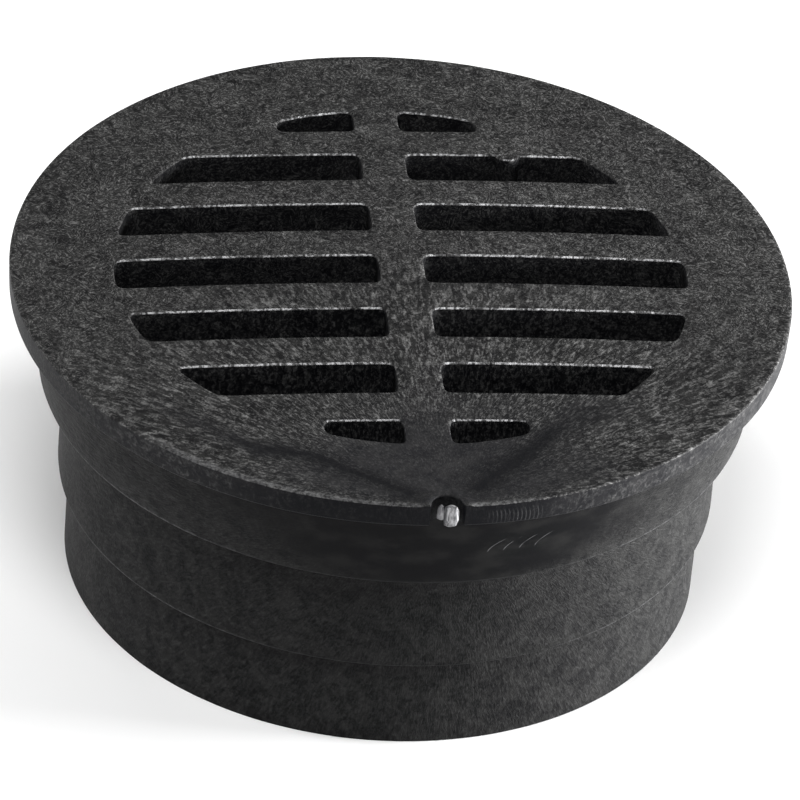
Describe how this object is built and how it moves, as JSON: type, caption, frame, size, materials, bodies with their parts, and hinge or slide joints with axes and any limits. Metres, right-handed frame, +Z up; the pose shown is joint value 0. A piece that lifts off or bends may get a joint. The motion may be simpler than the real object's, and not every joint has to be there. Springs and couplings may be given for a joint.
{
  "type": "floor drain grate",
  "caption": "Round black drop-in floor drain grate with a domed slotted top, a wide flange and an open stepped skirt that seats in drain pipe or fittings.",
  "frame": {"origin": "centre of the lower edge of the skirt, on the surface the grate stands on", "axes": "+Z up through the slotted top; the bars run along X and the spine along Y; the moulding gate faces -Y"},
  "size_m": [0.126, 0.126, 0.0566],
  "materials": {
    "grained_black_plastic": "black polyolefin with a swirled foamed grain, satin",
    "moulded_black_plastic": "black polyolefin, smooth at the gate and fine vertical grain lower down, satin",
    "torn_gate_plastic": "stress-whitened, torn black plastic"
  },
  "bodies": {
    "root": {"flange_ring": "grained_black_plastic", "centre_spine": "grained_black_plastic", "left_bar_1": "grained_black_plastic", "left_bar_2": "grained_black_plastic", "left_bar_3": "grained_black_plastic", "left_bar_4": "grained_black_plastic", "left_bar_5": "grained_black_plastic", "left_bar_6": "grained_black_plastic", "right_bar_1": "grained_black_plastic", "right_bar_2": "grained_black_plastic", "right_bar_3": "grained_black_plastic", "right_bar_4": "grained_black_plastic", "right_bar_5": "grained_black_plastic", "right_bar_6": "grained_black_plastic", "upper_skirt": "moulded_black_plastic", "middle_skirt": "moulded_black_plastic", "lower_skirt": "moulded_black_plastic", "gate_stub": "torn_gate_plastic"}
  },
  "joints": []
}
